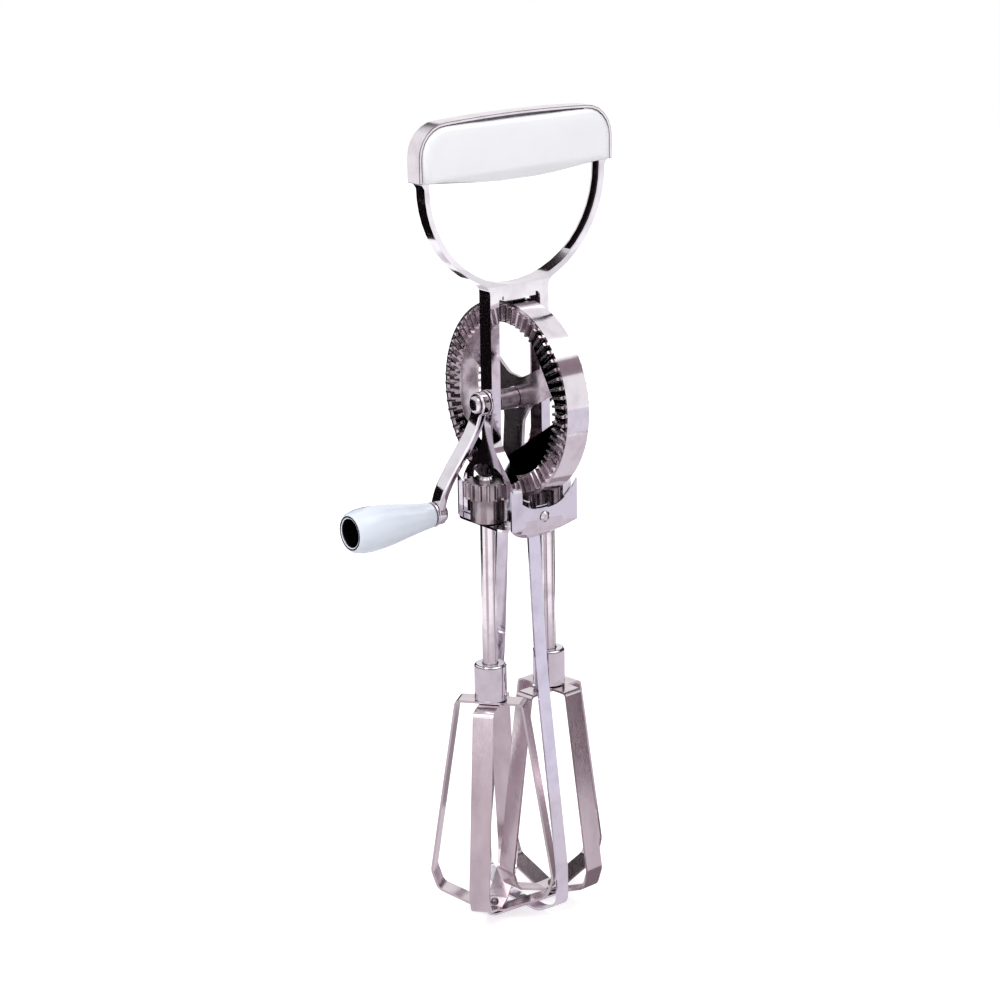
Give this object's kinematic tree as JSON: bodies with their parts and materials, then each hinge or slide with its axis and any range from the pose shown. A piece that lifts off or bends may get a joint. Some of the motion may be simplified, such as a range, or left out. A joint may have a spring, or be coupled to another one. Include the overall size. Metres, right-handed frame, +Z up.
{
  "type": "rotary egg beater",
  "caption": "Hand-cranked rotary egg beater with a D handle, a double-faced crown wheel, pinions and two intermeshing dashers on a strap frame.",
  "frame": {"origin": "underside of the foot bar, midway between the two dashers", "axes": "+Z up along the tool, from the foot to the handle; the wheel's axle lies along Y with the crank on the -Y side; X runs across the wheel's face"},
  "size_m": [0.077, 0.1156, 0.3225],
  "materials": {
    "polished_steel": "bright plated steel, mirror polish with light wear",
    "machined_steel": "plain machined steel, satin",
    "grip_plastic": "glossy moulded white plastic",
    "knob_plastic": "glossy moulded pale blue-white plastic"
  },
  "bodies": {
    "stand": {"frame": "polished_steel", "grip_band": "polished_steel", "grip": "grip_plastic", "gear_pan": "polished_steel", "pan_rivet_left": "polished_steel", "pan_rivet_right": "polished_steel", "bail": "polished_steel", "foot_bar": "polished_steel", "foot_rivet": "polished_steel", "front_pivot_pin": "machined_steel", "rear_pivot_pin": "machined_steel"},
    "wheel": {"crown_wheel": "polished_steel", "hub_sleeve": "machined_steel", "axle": "machined_steel", "front_axle_washer": "polished_steel", "rear_axle_washer": "polished_steel", "crank_arm": "polished_steel", "knob_pin": "machined_steel", "knob_washer": "polished_steel"},
    "knob": {"knob": "knob_plastic"},
    "front_dasher": {"front_pinion": "machined_steel", "front_shaft": "polished_steel", "front_collar": "polished_steel", "front_outer_blades": "polished_steel", "front_inner_blades": "polished_steel"},
    "rear_dasher": {"rear_pinion": "machined_steel", "rear_shaft": "polished_steel", "rear_collar": "polished_steel", "rear_outer_blades": "polished_steel", "rear_inner_blades": "polished_steel"}
  },
  "joints": [
    {"name": "crank_turn", "type": "hinge", "parent": "stand", "child": "wheel", "pos_m": [0, 0, 0.212], "axis": [0, 1, 0], "continuous": true},
    {"name": "knob_spin", "type": "hinge", "parent": "wheel", "child": "knob", "pos_m": [-0.01331, -0.051, 0.16765], "axis": [0, 1, 0], "continuous": true},
    {"name": "front_dasher_spin", "type": "hinge", "parent": "stand", "child": "front_dasher", "pos_m": [0, -0.0146, 0.1], "axis": [0, 0, 1], "continuous": true},
    {"name": "rear_dasher_spin", "type": "hinge", "parent": "stand", "child": "rear_dasher", "pos_m": [0, 0.0146, 0.1], "axis": [0, 0, 1], "continuous": true}
  ],
  "couplings": [
    {"joint": "front_dasher_spin", "follows": "crank_turn", "ratio": 4},
    {"joint": "rear_dasher_spin", "follows": "crank_turn", "ratio": -4}
  ]
}
